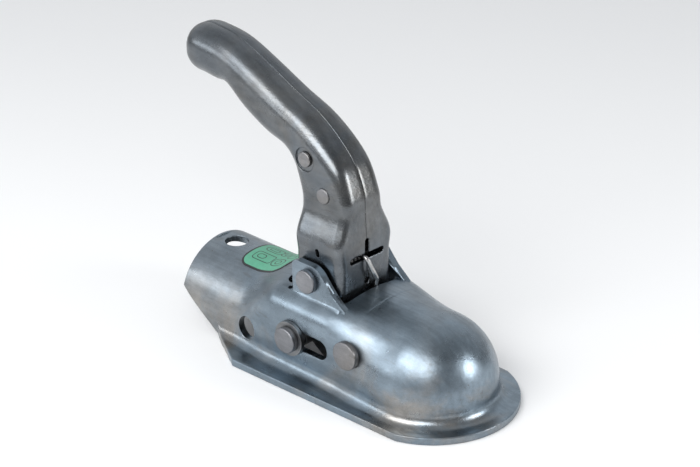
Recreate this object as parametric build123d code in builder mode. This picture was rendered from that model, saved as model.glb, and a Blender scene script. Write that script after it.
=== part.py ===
from build123d import *
from math import asin, atan2, cos, degrees, hypot, pi, radians, sin, sqrt
import os

# Ball coupling head of pressed sheet steel, shown open, with its handle raised.
#
# Millimetres. X points to the nose, Z points up, Y = 0 is the plane of symmetry.
# The origin is the centre of the tow ball that the head grips.
# Heights are given above the flange underside, and up() turns them into Z.

os.makedirs("parts", exist_ok=True)

# Driving dimensions: tow ball and drawbar that the head fits
ball_diameter = 50.0
ball_clearance = 0.3
ball_height = 15.0
drawbar_diameter = 60.0
drawbar_bolt_hole = 14.5

# Driving dimensions: housing sheet
sheet = 4.5
flare_radius = 7.0
dome_radius = 39.7
nose_flange_radius = 52.3
flange_half_front = 49.4
flange_half_rear = 53.4
flange_rear_x = -110.0
rear_x = -174.0
rear_rim_height = 24.0
collar_top = 48.0
collar_front_x = -128.0
skirt_rear_x = -145.0
saddle_x = -92.0
body_half = 37.4
body_front_x = -52.0
body_top = 55.0
shoulder_radius = 15.0
crown_radius = 120.0
transition_steps = 7

# Driving dimensions: opening, ears and slots of the housing
opening_front_x = -46.4
opening_rear_x = -94.0
opening_half = 24.0
opening_corner = 5.0
ear_top = 72.0
ear_rear_x = -83.5
ear_crown_x = -63.5
ear_front_x = -45.5
ear_front_height = 55.0
ear_rear_corner = 4.0
ear_front_corner = 12.0
relief_hole = 3.2
relief_x = -86.0
relief_y = 27.0
rear_foot_x = -139.0
rear_cut_slope = 1.72
top_flat_depth = 0.8
top_flat_length = 24.0
seat_gap = 0.2
seat_lip = 5.0
seat_rear_height = 8.5
seat_rear_x = -20.0
head_seat_margin = 0.4
slot_front_x = -47.2
top_bolt_x = -160.5
side_bolt_x = -116.3
side_bolt_height = 16.3

# Driving dimensions: pins
pivot_x = -70.5
pivot_height = 61.8
pivot_pin_diameter = 11.0
pivot_head_diameter = 14.5
slot_pin_x = -75.6
slot_pin_height = 26.3
slot_pin_diameter = 11.4
slot_head_diameter = 16.0
slot_washer_diameter = 21.5
front_rivet_x = -29.1
front_rivet_height = 33.1
front_rivet_diameter = 10.0
front_head_diameter = 17.2
flush_end_depth = 0.3
head_height = 4.0
pivot_head_height = 3.5
head_chamfer = 0.6
washer_thickness = 2.5
slot_clearance = 0.3
running_clearance = 0.05
side_clearance = 0.3

# Driving dimensions: handle
handle_sheet = 2.5
base_half = 23.4
neck_half = 16.6
seam_gap = 0.1
knob_x = -175.0
knob_length = 15.8
knob_power = 2.6
knob_shares = (0.02, 0.1, 0.25, 0.45, 0.7)
shoulder_steps = 5
shoulder_front_height = 82.0
shoulder_rear_height = 84.5
base_bottom = 51.0
base_front_x = -50.4
base_rear_x = -88.0
base_corner = 6.0
# Handle sections from the grip down to the neck: ridge point, underside point, half width, corner radius
handle_sections = [
    ((knob_x, 186.0), (knob_x, 156.0), 15.8, 13.5),
    ((-160.0, 184.2), (-164.5, 155.0), 15.8, 13.0),
    ((-147.0, 180.4), (-154.0, 154.2), 15.6, 12.5),
    ((-128.0, 172.0), (-139.0, 143.5), 15.8, 12.5),
    ((-108.0, 162.3), (-121.0, 134.5), 16.0, 12.0),
    ((-88.0, 153.2), (-106.0, 130.5), 16.3, 11.0),
    ((-72.0, 141.8), (-98.0, 124.5), neck_half, 10.0),
    ((-59.5, 128.5), (-93.5, 115.5), neck_half, 9.0),
    ((-52.5, 112.0), (-90.5, 107.5), neck_half, 8.0),
    ((-51.6, 105.0), (-89.6, 101.5), neck_half, 7.0),
]
cross_slot_height = 74.6
cross_slot_half = 14.0
cross_slot_width = 3.6
cross_slot_top = 85.7
drain_hole = 4.0
drain_hole_height = 58.8
side_hole_x = -68.3
side_hole_height = 78.2
side_hole_width = 3.2
side_hole_length = 5.4
upper_rivet_x = -84.6
upper_rivet_height = 130.2
lower_rivet_x = -69.8
lower_rivet_height = 111.7
handle_rivet_diameter = 6.0
handle_rivet_head = 9.5
handle_rivet_proud = 1.8
dimple_diameter = 14.5
dimple_depth = 1.2

rivet_spacer_diameter = 10.0
upper_spacer_half = 13.6

# Driving dimensions: linkage between handle and jaw
fork_inner = 10.0
fork_gap = 0.1
fork_top_radius = 8.0
fork_pivot_radius = 11.5
fork_end_radius = 8.5
fork_slot_clearance = 0.4
carriage_thickness = 4.0
carriage_gap = 0.6
carriage_end_radius = 9.5
carriage_jaw_radius = 8.0
jaw_gap = 0.2
jaw_corner = 4.0
jaw_pin_head_height = 2.0
jaw_travel = 20.6
jaw_rear_x = -41.0
jaw_front_x = -13.0
jaw_top = 21.0
jaw_bottom = 1.0
jaw_pin_x = -34.0
jaw_pin_height = 9.5
jaw_pin_diameter = 8.0
jaw_pin_head = 12.0
roller_diameter = 17.0
spacer_diameter = 15.0
front_spacer_diameter = 13.0
front_spacer_gap = 4.3
bush_diameter = 15.0
pivot_spacer_diameter = 16.0

# Driving dimensions: closing spring
spring_wire = 2.8
spring_turns = 4
spring_pitch = 3.3
spring_gap = 0.3
spring_front_leg = 6.5
spring_front_x = -48.6
spring_inner_x = -48.0
spring_slot_reach = 8.0
spring_slot_y = -2.6
spring_slot_drift = 0.8
spring_low_y = 4.7
spring_straight_height = 57.0
spring_turn_height = 48.0
spring_bend = 2.4

# Driving dimensions: label
label_thickness = 0.3
label_x = -126.0
label_length = 35.0
label_width = 32.0
label_corner = 7.0

# Values that follow from the driving dimensions
ball_radius = ball_diameter / 2
seat_radius = ball_radius + ball_clearance
drawbar_radius = drawbar_diameter / 2
collar_half = drawbar_radius + sheet
dome_top = ball_height + dome_radius


def up(height):
    """Z of a height above the flange underside."""
    return height - ball_height


floor_z = up(0)
round_lean = radians(28)
tiny = 0.001
collar_axis_z = up(collar_top - collar_half)


def export(piece, name):
    """Label a finished piece and write its file."""
    piece.part.label = name
    export_step(piece.part, "parts/" + name + ".step")


def ease(start, end, share):
    """Value between start and end that leaves and arrives level."""
    share = min(max(share, 0.0), 1.0)
    return start + (end - start) * share * share * (3 - 2 * share)


def body_section(x, inset):
    """Half width, top height, shoulder radius and crown radius of the body at x, less an inset."""
    rise = (x - collar_front_x) / (saddle_x - collar_front_x)
    swell = (x - body_front_x) / (0 - body_front_x)
    half = ease(ease(collar_half, body_half, rise), dome_radius, swell)
    top = ease(ease(collar_top, body_top, rise), dome_top, swell)
    corner = ease(ease(collar_half, shoulder_radius, rise), dome_radius, swell)
    curvature = ease(ease(1 / collar_half, 1 / crown_radius, rise), 1 / dome_radius, swell)
    return half - inset, top - inset, corner - inset, 1 / curvature - inset


def steps(start, end, count):
    """Evenly spaced stations after start, up to and including end."""
    return [start + (end - start) * number / count for number in range(1, count + 1)]


# Stations of the pressed body along X, close together where its section changes
stations = [skirt_rear_x, collar_front_x]
stations += steps(collar_front_x, saddle_x, transition_steps)
stations += steps(saddle_x, body_front_x, 2)
stations += steps(body_front_x, 0, transition_steps)


def roof_points(half, top, corner, crown):
    """Points of one half of the roof: side tangent, shoulder middle, crown tangent and peak."""
    centre_y = half - corner
    crown_centre = up(top) - crown
    lean = round_lean
    if centre_y > tiny:
        lean = asin(centre_y / (crown - corner))
    centre_z = crown_centre + (crown - corner) * cos(lean)
    middle = (radians(90) + lean) / 2
    shoulder = (centre_y + corner * sin(middle), centre_z + corner * cos(middle))
    tangent = (centre_y + corner * sin(lean), centre_z + corner * cos(lean))
    return (half, centre_z), shoulder, tangent, (0, up(top))


def draw_roof(half, top, corner, crown):
    """Side walls' upper ends, shoulders and crown, from the right side to the left."""
    side, shoulder, tangent, peak = roof_points(half, top, corner, crown)
    ThreePointArc(side, shoulder, tangent)
    ThreePointArc(tangent, peak, (-tangent[0], tangent[1]))
    ThreePointArc((-tangent[0], tangent[1]), (-shoulder[0], shoulder[1]), (-side[0], side[1]))
    return side[1]


def draw_outer(half, top, corner, crown, flange_half):
    """Outer section of the body with its flared skirt and flange."""
    side_z = draw_roof(half, top, corner, crown)
    flange_z = floor_z + sheet
    bend = flare_radius * (1 - cos(radians(45)))
    for side in (1, -1):
        toe = (side * (half + flare_radius), flange_z)
        middle = (side * (half + bend), flange_z + bend)
        heel = (side * half, flange_z + flare_radius)
        Line((side * half, side_z), heel)
        ThreePointArc(heel, middle, toe)
        Line(toe, (side * flange_half, flange_z))
        Line((side * flange_half, flange_z), (side * flange_half, floor_z))
    Line((flange_half, floor_z), (-flange_half, floor_z))


def draw_inner(half, top, corner, crown):
    """Inner section of the body, which opens out along the bend of the skirt."""
    side_z = draw_roof(half, top, corner, crown)
    bend_radius = flare_radius + sheet
    bend = bend_radius * (1 - cos(radians(45)))
    for side in (1, -1):
        toe = (side * (half + bend_radius), floor_z)
        middle = (side * (half + bend), floor_z + bend)
        heel = (side * half, floor_z + bend_radius)
        Line((side * half, side_z), heel)
        ThreePointArc(heel, middle, toe)
    Line((half + bend_radius, floor_z), (-half - bend_radius, floor_z))


def draw_collar(radius):
    """Arch of the rear collar, with straight legs down to the floor."""
    Line((-radius, floor_z), (-radius, collar_axis_z))
    ThreePointArc((-radius, collar_axis_z), (0, collar_axis_z + radius), (radius, collar_axis_z))
    Line((radius, collar_axis_z), (radius, floor_z))
    Line((radius, floor_z), (-radius, floor_z))


def draw_dome(radius):
    """Wall and dome on the -Y side, which the nose turns about the ball's axis."""
    middle = radius * sin(radians(45))
    Line((-radius, floor_z + sheet + flare_radius), (-radius, 0))
    ThreePointArc((-radius, 0), (-middle, middle), (0, radius))
    Line((0, radius), (0, floor_z))


def draw_outer_skirt(radius):
    """Flange and flare outside the dome."""
    flange_z = floor_z + sheet
    bend = flare_radius * (1 - cos(radians(45)))
    Line((0, floor_z), (-nose_flange_radius, floor_z))
    Line((-nose_flange_radius, floor_z), (-nose_flange_radius, flange_z))
    Line((-nose_flange_radius, flange_z), (-radius - flare_radius, flange_z))
    ThreePointArc(
        (-radius - flare_radius, flange_z),
        (-radius - bend, flange_z + bend),
        (-radius, flange_z + flare_radius),
    )


def draw_inner_skirt(radius):
    """Flared mouth inside the dome."""
    bend_radius = flare_radius + sheet
    bend = bend_radius * (1 - cos(radians(45)))
    Line((0, floor_z), (-radius - bend_radius, floor_z))
    ThreePointArc(
        (-radius - bend_radius, floor_z),
        (-radius - bend, floor_z + bend),
        (-radius, floor_z + bend_radius),
    )


with BuildPart() as outer_body:
    for start, end in zip(stations, stations[1:]):
        for x in (start, end):
            with BuildSketch(Plane.YZ.offset(x)):
                with BuildLine():
                    draw_outer(*body_section(x, 0), flange_half_rear + 1)
                make_face()
        loft(ruled=True, clean=False)
    with BuildSketch(Plane.YZ):
        with BuildLine():
            draw_outer_skirt(dome_radius)
            draw_dome(dome_radius)
        make_face()
    revolve(axis=Axis.Z, revolution_arc=180)
    with BuildSketch(Plane.YZ.offset(rear_x)):
        with BuildLine():
            draw_collar(collar_half)
        make_face()
    extrude(amount=skirt_rear_x - rear_x)

with BuildPart() as cavity:
    for start, end in zip(stations, stations[1:]):
        for x in (start, end):
            with BuildSketch(Plane.YZ.offset(x)):
                with BuildLine():
                    draw_inner(*body_section(x, sheet))
                make_face()
        loft(ruled=True, clean=False)
    with BuildSketch(Plane.YZ):
        with BuildLine():
            draw_inner_skirt(dome_radius - sheet)
            draw_dome(dome_radius - sheet)
        make_face()
    revolve(axis=Axis.Z, revolution_arc=180)
    with BuildSketch(Plane.YZ.offset(rear_x - sheet)):
        with BuildLine():
            draw_collar(drawbar_radius)
        make_face()
    extrude(amount=skirt_rear_x - rear_x + sheet)

wall_reach = max(nose_flange_radius, flange_half_rear) + sheet
flange_front_x = sqrt(nose_flange_radius**2 - flange_half_front**2)
skirt_cut_x = flange_rear_x - (flange_half_rear - collar_half) * rear_cut_slope
ear_base = body_top - sheet - 2
rivet_seat_half = body_section(front_rivet_x, 0)[0]
slot_height = slot_pin_diameter + 2 * slot_clearance
slot_rear_x = slot_pin_x - slot_height / 2

with BuildPart() as housing:
    add(outer_body.part)
    add(cavity.part, mode=Mode.SUBTRACT)
    # Sides and rear corners of the flange, seen from above
    with BuildSketch(Plane.XY.offset(floor_z)):
        for side in (1, -1):
            with BuildLine():
                Polyline(
                    (flange_front_x, side * flange_half_front),
                    (flange_rear_x, side * flange_half_rear),
                    (skirt_cut_x, side * collar_half),
                    (skirt_cut_x, side * wall_reach),
                    (flange_front_x, side * wall_reach),
                    close=True,
                )
            make_face()
    extrude(amount=body_top, mode=Mode.SUBTRACT)
    with BuildSketch(Plane.XY.offset(floor_z)):
        for side in (1, -1):
            with BuildLine():
                Polyline(
                    (skirt_cut_x, side * collar_half),
                    (skirt_cut_x, side * wall_reach),
                    (rear_x, side * wall_reach),
                    (rear_x, side * collar_half),
                    close=True,
                )
            make_face()
    extrude(amount=body_top, mode=Mode.SUBTRACT)
    # Slanted underside of the collar
    with BuildSketch(Plane.XZ):
        with BuildLine():
            Polyline(
                (rear_x - sheet, up(rear_rim_height) + sheet * rear_rim_height / (rear_foot_x - rear_x)),
                (rear_foot_x, floor_z),
                (rear_foot_x, floor_z - sheet),
                (rear_x - sheet, floor_z - sheet),
                close=True,
            )
        make_face()
    extrude(amount=wall_reach, both=True, mode=Mode.SUBTRACT)
    # Opening for the handle
    with BuildSketch(Plane.XY.offset(up(ear_base) - sheet)):
        with Locations(((opening_front_x + opening_rear_x) / 2, 0)):
            RectangleRounded(opening_front_x - opening_rear_x, 2 * opening_half, opening_corner)
    extrude(amount=ear_top, mode=Mode.SUBTRACT)
    # Ears bent up beside the opening
    for side in (1, -1):
        with BuildSketch(Plane.XZ.offset(-side * (opening_half + sheet / 2))):
            with BuildLine():
                Polyline(
                    (ear_rear_x, up(ear_base)),
                    (ear_rear_x, up(ear_top)),
                    (ear_crown_x, up(ear_top)),
                    (ear_front_x, up(ear_front_height)),
                    (ear_front_x, up(ear_base)),
                    close=True,
                )
            make_face()
            tops = vertices().sort_by(Axis.Y)[-2:].sort_by(Axis.X)
            fillet(tops[0], ear_rear_corner)
            fillet(vertices().sort_by(Axis.Y)[-1], ear_front_corner)
        extrude(amount=sheet / 2, both=True)
    # Pivot, rivet, slot and drawbar bolt holes
    with BuildSketch(Plane.XZ):
        with Locations((pivot_x, up(pivot_height))):
            Circle(pivot_pin_diameter / 2 + running_clearance)
        with Locations((front_rivet_x, up(front_rivet_height))):
            Circle(front_rivet_diameter / 2 + running_clearance)
        with Locations((side_bolt_x, up(side_bolt_height))):
            Circle(drawbar_bolt_hole / 2)
        with Locations(((slot_front_x + slot_rear_x) / 2, up(slot_pin_height))):
            SlotOverall(slot_front_x - slot_rear_x, slot_height)
    extrude(amount=wall_reach, both=True, mode=Mode.SUBTRACT)
    # Flat seat for the head of the front rivet
    with BuildSketch(Plane.XZ.offset(rivet_seat_half)):
        with Locations((front_rivet_x, up(front_rivet_height))):
            Circle(front_head_diameter / 2 + head_seat_margin)
    extrude(amount=sheet, mode=Mode.SUBTRACT)
    # Flat round the top bolt hole, the hole itself, and the relief holes beside the ears
    with BuildSketch(Plane.XY.offset(up(collar_top) - top_flat_depth)):
        with Locations((top_bolt_x, 0)):
            Rectangle(top_flat_length, 2 * collar_half)
    extrude(amount=sheet, mode=Mode.SUBTRACT)
    with BuildSketch(Plane.XY):
        with Locations((top_bolt_x, 0)):
            Circle(drawbar_bolt_hole / 2)
        with Locations(*[(relief_x, side * relief_y) for side in (1, -1)]):
            Circle(relief_hole / 2)
    extrude(amount=body_top, mode=Mode.SUBTRACT)
export(housing, "housing")

# Ball seat: cast cup under the dome, open to the rear for the jaw
with BuildPart() as ball_seat:
    with BuildSketch(Plane.XZ):
        Circle(dome_radius - sheet - seat_gap)
        Circle(seat_radius, mode=Mode.SUBTRACT)
        with Locations((-dome_radius, 0)):
            Rectangle(2 * dome_radius, 2 * dome_radius, mode=Mode.SUBTRACT)
    revolve(axis=Axis.Z)
    with Locations((0, 0, -dome_radius - seat_lip)):
        Box(2 * dome_radius, 2 * dome_radius, 2 * dome_radius, mode=Mode.SUBTRACT)
    with Locations((-dome_radius, 0, seat_rear_height - dome_radius)):
        Box(2 * dome_radius, 2 * dome_radius, 2 * dome_radius, mode=Mode.SUBTRACT)
    with Locations((seat_rear_x - dome_radius, 0, 0)):
        Box(2 * dome_radius, 2 * dome_radius, 4 * dome_radius, mode=Mode.SUBTRACT)
export(ball_seat, "ball_seat")


def round_pin(x, height, diameter, reach, head_diameter, head):
    """Pin across the head with a chamfered head at each end, its shoulders at the given reach."""
    with BuildPart() as pin:
        with BuildSketch(Plane.XZ):
            with Locations((x, up(height))):
                Circle(diameter / 2)
        extrude(amount=reach, both=True)
        for side in (1, -1):
            with BuildSketch(Plane.XZ.offset(-side * reach)):
                with Locations((x, up(height))):
                    Circle(head_diameter / 2)
            extrude(amount=-side * head)
            rim = edges().group_by(Axis.Y)[-1 if side > 0 else 0]
            chamfer(rim, head_chamfer)
    return pin


def tube(x, height, outer, inner, start, end):
    """Tube round a cross pin, from start to end along Y."""
    with BuildPart() as ring:
        with BuildSketch(Plane.XZ.offset(-start)):
            with Locations((x, up(height))):
                Circle(outer / 2)
                Circle(inner / 2, mode=Mode.SUBTRACT)
        extrude(amount=start - end)
    return ring


def pair(x, height, outer, inner, start, end):
    """Two like tubes, one on each side of the plane of symmetry."""
    ring = tube(x, height, outer, inner, start, end)
    with BuildPart() as rings:
        add(ring.part)
        mirror(about=Plane.XZ)
    return rings


ear_outer = opening_half + sheet
slot_pin_bore = slot_pin_diameter + 2 * running_clearance
pivot_bore = pivot_pin_diameter + 2 * running_clearance

# The front rivet has its head on the near side only and is closed flush in the far wall
with BuildPart() as front_rivet:
    with BuildSketch(Plane.XZ.offset(-rivet_seat_half + flush_end_depth)):
        with Locations((front_rivet_x, up(front_rivet_height))):
            Circle(front_rivet_diameter / 2)
    extrude(amount=2 * rivet_seat_half - flush_end_depth)
    with BuildSketch(Plane.XZ.offset(rivet_seat_half)):
        with Locations((front_rivet_x, up(front_rivet_height))):
            Circle(front_head_diameter / 2)
    extrude(amount=head_height)
    chamfer(edges().group_by(Axis.Y)[0], head_chamfer)
export(front_rivet, "front_rivet")
front_bore = front_rivet_diameter + 2 * running_clearance
front_spacer_end = body_section(front_rivet_x, sheet)[0] - front_spacer_gap
front_spacer = tube(
    front_rivet_x, front_rivet_height, front_spacer_diameter, front_bore,
    -front_spacer_end, front_spacer_end,
)
export(front_spacer, "front_spacer")
pivot_pin = round_pin(
    pivot_x, pivot_height, pivot_pin_diameter, ear_outer, pivot_head_diameter, pivot_head_height,
)
export(pivot_pin, "pivot_pin")


def handle_outline(inset):
    """Handle sections from the tip of the grip to the foot, each face moved in by the inset."""
    top, bottom, half, corner = handle_sections[0]
    middle = (top[1] + bottom[1]) / 2
    outline = []
    for share in knob_shares:
        fullness = (1 - (1 - share) ** knob_power) ** (1 / knob_power)
        x = knob_x - (knob_length - inset) * (1 - share)
        reach = (top[1] - middle - inset) * fullness
        ends = (x, middle + reach), (x, middle - reach)
        outline.append((*ends, (half - inset) * fullness, (corner - inset) * fullness))
    for top, bottom, half, corner in handle_sections:
        depth = hypot(top[0] - bottom[0], top[1] - bottom[1])
        step_x = (top[0] - bottom[0]) * inset / depth
        step_z = (top[1] - bottom[1]) * inset / depth
        ends = (top[0] - step_x, top[1] - step_z), (bottom[0] + step_x, bottom[1] + step_z)
        outline.append((*ends, half - inset, corner - inset))
    # Foot: widens in a soft eased step, then runs straight down
    neck = outline[-1]
    front_x = base_front_x - inset
    rear_x = base_rear_x + inset
    for share in steps(0, 1, shoulder_steps):
        front = (front_x, ease(neck[0][1], shoulder_front_height, share))
        rear = (rear_x, ease(neck[1][1], shoulder_rear_height, share))
        half = ease(neck[2], base_half - inset, share)
        outline.append((front, rear, half, ease(neck[3], base_corner - inset, share)))
    # The core runs on through the open underside
    foot = base_bottom - 2 * inset
    outline.append(((front_x, foot), (rear_x, foot), base_half - inset, base_corner - inset))
    return outline


def handle_solid(inset):
    """Solid within the handle's outline, by straight strips between its sections."""
    outline = handle_outline(inset)
    with BuildPart() as solid:
        for start, end in zip(outline, outline[1:]):
            for top, bottom, half, corner in (start, end):
                across = Vector(top[0] - bottom[0], 0, top[1] - bottom[1])
                centre = ((top[0] + bottom[0]) / 2, 0, up((top[1] + bottom[1]) / 2))
                with BuildSketch(Plane(centre, x_dir=across, z_dir=Vector(0, 1, 0).cross(across))):
                    RectangleRounded(across.length, 2 * half, corner)
            loft(ruled=True, clean=False)
    return solid


handle_outer = handle_solid(0)
handle_core = handle_solid(handle_sheet)
rivet_floor = neck_half - dimple_depth
rivet_points = [
    (upper_rivet_x, up(upper_rivet_height)),
    (lower_rivet_x, up(lower_rivet_height)),
]
handle_rivet_bore = handle_rivet_diameter + 2 * running_clearance

with BuildPart() as handle:
    add(handle_outer.part)
    add(handle_core.part, mode=Mode.SUBTRACT)
    # Holes for the pivot pin and the rivets, and the oval side holes
    with BuildSketch(Plane.XZ):
        with Locations((pivot_x, up(pivot_height))):
            Circle(pivot_bore / 2)
        with Locations(*rivet_points):
            Circle(handle_rivet_bore / 2)
        with Locations((side_hole_x, up(side_hole_height))):
            SlotOverall(side_hole_length, side_hole_width, rotation=90)
    extrude(amount=base_half, both=True, mode=Mode.SUBTRACT)
    # Round dimples for the rivet heads
    for side in (1, -1):
        with BuildSketch(Plane.XZ.offset(-side * rivet_floor)):
            with Locations(*rivet_points):
                Circle(dimple_diameter / 2)
        extrude(amount=-side * base_half, mode=Mode.SUBTRACT)
    # Cross-shaped slot and drain hole in the front wall
    with BuildSketch(Plane.YZ.offset(base_front_x - 2 * handle_sheet)):
        with Locations((0, up(cross_slot_height))):
            SlotOverall(2 * cross_slot_half, cross_slot_width)
        with Locations((0, up((cross_slot_height + cross_slot_top) / 2))):
            SlotOverall(cross_slot_top - cross_slot_height + cross_slot_width, cross_slot_width, rotation=90)
        with Locations((0, up(drain_hole_height))):
            Circle(drain_hole / 2)
    extrude(amount=3 * handle_sheet, mode=Mode.SUBTRACT)

with BuildPart() as handle_shell_left:
    add(handle.part)
    split(bisect_by=Plane.XZ.offset(-seam_gap / 2), keep=Keep.BOTTOM)
export(handle_shell_left, "handle_shell_left")

with BuildPart() as handle_shell_right:
    add(handle.part)
    split(bisect_by=Plane.XZ.offset(seam_gap / 2), keep=Keep.TOP)
export(handle_shell_right, "handle_shell_right")

# Rivets of the handle and the tubes round them
fork_outer = neck_half - handle_sheet - fork_gap
bush_half = fork_inner - fork_gap
for number, name in enumerate(("upper_rivet", "lower_rivet")):
    rivet_x, rivet_z = rivet_points[number]
    rivet = round_pin(
        rivet_x, rivet_z + ball_height, handle_rivet_diameter, rivet_floor,
        handle_rivet_head, handle_rivet_proud,
    )
    export(rivet, name)
    spacer_half = (upper_spacer_half, bush_half)[number]
    spacer = tube(
        rivet_x, rivet_z + ball_height, rivet_spacer_diameter, handle_rivet_bore,
        -spacer_half, spacer_half,
    )
    export(spacer, name + "_spacer")

# Tubes on the pivot pin
pivot_bush = tube(pivot_x, pivot_height, bush_diameter, pivot_bore, -bush_half, bush_half)
export(pivot_bush, "pivot_bush")
pivot_spacers = pair(
    pivot_x, pivot_height, pivot_spacer_diameter, pivot_bore,
    fork_outer + fork_gap, base_half - handle_sheet - fork_gap,
)
export(pivot_spacers, "pivot_spacers")

# Fork: from the lower rivet past the pivot to a slotted end round the slot pin
pin_drop = pivot_height - slot_pin_height
pin_reach = hypot(pin_drop, slot_pin_x + jaw_travel - pivot_x)
fork_lean = atan2(pivot_x - slot_pin_x, pin_drop)
fork_slot_width = slot_pin_diameter + 2 * fork_slot_clearance


def fork_point(distance):
    """Point of the fork at a distance from the pivot towards the slot pin."""
    return pivot_x - distance * sin(fork_lean), up(pivot_height) - distance * cos(fork_lean)


def fork_arm(side):
    """Fork arm on one side, +1 for +Y."""
    with BuildPart() as arm:
        with BuildSketch(Plane.XZ.offset(-side * fork_inner)):
            with Locations((lower_rivet_x, up(lower_rivet_height))):
                Circle(fork_top_radius)
            with Locations((pivot_x, up(pivot_height))):
                Circle(fork_pivot_radius)
            with Locations(fork_point(pin_reach)):
                Circle(fork_end_radius)
            make_hull()
            with Locations((lower_rivet_x, up(lower_rivet_height))):
                Circle(handle_rivet_bore / 2, mode=Mode.SUBTRACT)
            with Locations((pivot_x, up(pivot_height))):
                Circle(pivot_bore / 2, mode=Mode.SUBTRACT)
            with Locations(fork_point((pin_drop + pin_reach) / 2)):
                SlotCenterToCenter(
                    pin_reach - pin_drop, fork_slot_width, rotation=90 - degrees(fork_lean), mode=Mode.SUBTRACT
                )
        extrude(amount=-side * (fork_outer - fork_inner))
    return arm


export(fork_arm(1), "fork_arm_left")
export(fork_arm(-1), "fork_arm_right")

# Carriage: slot pin with its washers, roller and spacers, and the two plates that carry the jaw
washer_start = body_half + side_clearance
slot_pin_reach = washer_start + washer_thickness + fork_gap
slot_pin = round_pin(
    slot_pin_x, slot_pin_height, slot_pin_diameter, slot_pin_reach, slot_head_diameter, head_height,
)
export(slot_pin, "slot_pin")
slot_washers = pair(
    slot_pin_x, slot_pin_height, slot_washer_diameter, slot_pin_bore,
    washer_start, washer_start + washer_thickness,
)
export(slot_washers, "slot_washers")
roller_half = fork_inner - side_clearance
pin_roller = tube(slot_pin_x, slot_pin_height, roller_diameter, slot_pin_bore, -roller_half, roller_half)
export(pin_roller, "pin_roller")
plate_inner = fork_outer + carriage_gap
plate_outer = plate_inner + carriage_thickness
pin_spacers = pair(
    slot_pin_x, slot_pin_height, spacer_diameter, slot_pin_bore,
    plate_outer + fork_gap, body_half - sheet - side_clearance,
)
export(pin_spacers, "pin_spacers")
open_jaw_pin_x = jaw_pin_x - jaw_travel
jaw_pin_bore = jaw_pin_diameter + 2 * running_clearance


def carriage_plate(side):
    """Carriage plate on one side, +1 for +Y."""
    with BuildPart() as plate:
        with BuildSketch(Plane.XZ.offset(-side * plate_inner)):
            with Locations((slot_pin_x, up(slot_pin_height))):
                Circle(carriage_end_radius)
            with Locations((open_jaw_pin_x, up(jaw_pin_height))):
                Circle(carriage_jaw_radius)
            make_hull()
            with Locations((slot_pin_x, up(slot_pin_height))):
                Circle(slot_pin_bore / 2, mode=Mode.SUBTRACT)
            with Locations((open_jaw_pin_x, up(jaw_pin_height))):
                Circle(jaw_pin_bore / 2, mode=Mode.SUBTRACT)
        extrude(amount=-side * carriage_thickness)
    return plate


export(carriage_plate(1), "carriage_plate_left")
export(carriage_plate(-1), "carriage_plate_right")
jaw_pin = round_pin(
    open_jaw_pin_x, jaw_pin_height, jaw_pin_diameter, plate_outer + fork_gap, jaw_pin_head,
    jaw_pin_head_height,
)
export(jaw_pin, "jaw_pin")

# Jaw: block with a hollow that closes on the rear of the ball, drawn back by its travel
jaw_half = plate_inner - jaw_gap
with BuildPart() as jaw:
    with BuildSketch(Plane.XY.offset(up(jaw_bottom))):
        with Locations(((jaw_rear_x + jaw_front_x) / 2 - jaw_travel, 0)):
            Rectangle(jaw_front_x - jaw_rear_x, 2 * jaw_half)
    extrude(amount=jaw_top - jaw_bottom)
    fillet(edges().filter_by(Axis.Z).group_by(Axis.X)[0], jaw_corner)
    with Locations((-jaw_travel, 0, 0)):
        Sphere(seat_radius, mode=Mode.SUBTRACT)
    with BuildSketch(Plane.XZ):
        with Locations((open_jaw_pin_x, up(jaw_pin_height))):
            Circle(jaw_pin_bore / 2)
    extrude(amount=jaw_half, both=True, mode=Mode.SUBTRACT)
export(jaw, "jaw")

# Closing spring: rear leg, coil round the pivot bush, and front leg out through the cross slot
coil_radius = bush_diameter / 2 + spring_gap + spring_wire / 2
coil_top = up(pivot_height) + coil_radius
coil_half = spring_turns * spring_pitch / 2
leg_slope = spring_pitch / (2 * pi * coil_radius)
rear_leg = pivot_x - base_rear_x - handle_sheet - spring_gap
coil_plane = Plane((pivot_x, coil_half, up(pivot_height)), x_dir=(0, 0, 1), z_dir=(0, -1, 0))
coil = coil_plane.from_local_coords(Helix(spring_pitch, 2 * coil_half, coil_radius, lefthand=True))
rear_end = (pivot_x - rear_leg, coil_half + rear_leg * leg_slope, coil_top)
spacer_top = up(front_rivet_height) + (front_spacer_diameter + spring_wire) / 2 + spring_gap
with BuildPart() as closing_spring:
    with BuildLine() as wire:
        Line(rear_end, (pivot_x, coil_half, coil_top))
        add(coil)
        FilletPolyline(
            (pivot_x, -coil_half, coil_top),
            (pivot_x + spring_front_leg, -coil_half - spring_front_leg * leg_slope, coil_top),
            (spring_front_x - spring_slot_reach, spring_slot_y + spring_slot_drift, up(cross_slot_height)),
            (spring_front_x, spring_slot_y, up(cross_slot_height)),
            (spring_front_x, spring_low_y, up(spring_straight_height)),
            (spring_inner_x, spring_low_y, up(spring_turn_height)),
            (front_rivet_x, spring_low_y, spacer_top),
            radius=spring_bend,
        )
    with BuildSketch(Plane(rear_end, z_dir=(1, -leg_slope, 0))):
        Circle(spring_wire / 2)
    sweep(path=wire.line)
export(closing_spring, "closing_spring")

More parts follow.
